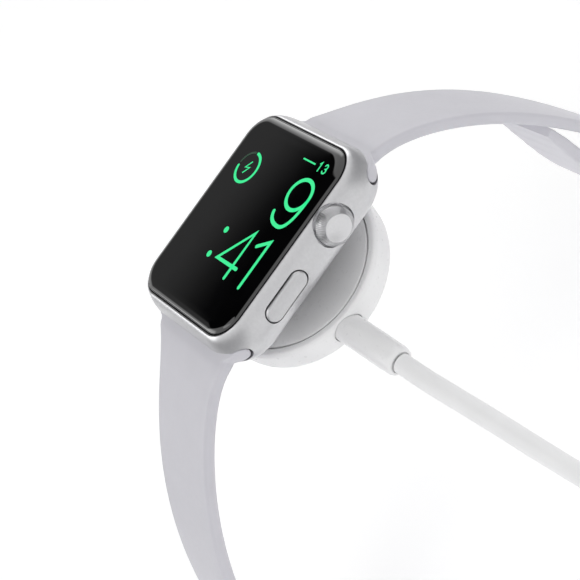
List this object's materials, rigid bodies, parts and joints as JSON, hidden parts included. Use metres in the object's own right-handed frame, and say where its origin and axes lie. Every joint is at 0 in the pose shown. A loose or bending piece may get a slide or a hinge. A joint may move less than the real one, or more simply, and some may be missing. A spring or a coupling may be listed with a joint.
{
  "type": "smartwatch with charging puck",
  "caption": "Rounded-rectangle smartwatch on an open two-piece strap, with a turning crown, a side button and a magnetic charging puck with its cord.",
  "frame": {"origin": "middle of the bounding box of the watch and puck, on the table it stands on, cord left out", "axes": "+X towards the crown, +Y towards twelve o'clock along the strap, +Z out of the screen, up from the table"},
  "size_m": [0.1588, 0.1286, 0.079],
  "materials": {
    "aluminium": "bead blasted",
    "glass_black": "polished",
    "seal_black": "matt",
    "back_plate": "polished",
    "back_lens": "polished",
    "board": "solder mask",
    "battery": "foil pouch",
    "copper": "enamelled winding",
    "steel": "fine",
    "elastomer": "satin",
    "white_plastic": "satin gloss",
    "cord_white": "smooth",
    "magnet": "plated"
  },
  "bodies": {
    "watch": {"case_body": "aluminium", "cover_glass": "glass_black", "glass_gasket": "seal_black", "display_panel": "glass_black", "back_cover": "back_plate", "back_crystal": "back_lens", "sensor_diode_1": "back_lens", "sensor_diode_2": "back_lens", "sensor_diode_3": "back_lens", "sensor_diode_4": "back_lens", "sensor_board": "board", "receiver_coil": "copper", "dock_magnet": "magnet", "battery": "battery", "logic_board": "board", "haptic_motor": "steel", "speaker_module": "seal_black", "microphone": "steel", "crown_bush": "steel", "crown_seal": "seal_black", "crown_switch": "seal_black", "button_switch": "seal_black", "release_spring_top": "steel", "release_spring_bottom": "steel", "cord_run": "cord_white", "cord_coil": "cord_white", "cord_tail": "cord_white", "plug_sleeve": "white_plastic", "plug_shell": "steel", "plug_tongue": "white_plastic"},
    "crown_carrier": {"crown_plunger": "steel"},
    "crown": {"crown_cap": "aluminium", "crown_shaft": "steel", "crown_drum": "steel"},
    "side_button": {"side_button": "aluminium", "button_stem_1": "steel", "button_stem_2": "steel"},
    "release_top": {"release_button_top": "steel"},
    "release_bottom": {"release_button_bottom": "steel"},
    "lug_top": {"lug_top": "elastomer", "lug_latch_top": "steel"},
    "lug_bottom": {"lug_bottom": "elastomer", "lug_latch_bottom": "steel"},
    "strap_top": {"strap_top": "elastomer", "closure_pin": "aluminium", "tuck_loop": "elastomer"},
    "strap_bottom": {"strap_bottom": "elastomer"},
    "charger": {"charger_housing": "white_plastic", "charger_dish": "white_plastic", "charger_coil": "copper", "charger_magnet": "magnet", "charger_board": "board", "cord_collar": "white_plastic"}
  },
  "joints": [
    {"name": "crown_press", "type": "slide", "parent": "watch", "child": "crown_carrier", "axis": [-1, 0, 0], "range_m": [0, 0.00025], "stiffness_N_per_m": 900},
    {"name": "crown_spin", "type": "hinge", "parent": "crown_carrier", "child": "crown", "pos_m": [0.01601, 0.00564, 0.07446], "axis": [1, 0, 0], "continuous": true},
    {"name": "side_button_press", "type": "slide", "parent": "watch", "child": "side_button", "axis": [-1, 0, 0], "range_m": [0, 0.0003], "stiffness_N_per_m": 900},
    {"name": "release_top_press", "type": "slide", "parent": "watch", "child": "release_top", "axis": [0, 0, 1], "range_m": [0, 0.0004], "stiffness_N_per_m": 500, "deforming": ["release_spring_top"]},
    {"name": "release_bottom_press", "type": "slide", "parent": "watch", "child": "release_bottom", "axis": [0, 0, 1], "range_m": [0, 0.0004], "stiffness_N_per_m": 500, "deforming": ["release_spring_bottom"]},
    {"name": "lug_top_slide", "type": "slide", "parent": "watch", "child": "lug_top", "axis": [1, 0, 0], "range_m": [-0.028, 0.028]},
    {"name": "lug_bottom_slide", "type": "slide", "parent": "watch", "child": "lug_bottom", "axis": [1, 0, 0], "range_m": [-0.028, 0.028]},
    {"name": "strap_top_flex", "type": "hinge", "parent": "lug_top", "child": "strap_top", "pos_m": [0.00011, 0.01944, 0.07176], "axis": [1, 0, 0], "range_deg": [-15, 15], "stiffness_Nm_per_rad": 0.9},
    {"name": "strap_bottom_flex", "type": "hinge", "parent": "lug_bottom", "child": "strap_bottom", "pos_m": [0.00011, -0.02266, 0.07186], "axis": [1, 0, 0], "range_deg": [-15, 15], "stiffness_Nm_per_rad": 0.9},
    {"name": "charger_peel", "type": "hinge", "parent": "watch", "child": "charger", "pos_m": [-0.01154, -0.00266, 0.07356], "axis": [0, 1, 0], "range_deg": [-15, 30], "deforming": ["cord_run"]}
  ]
}
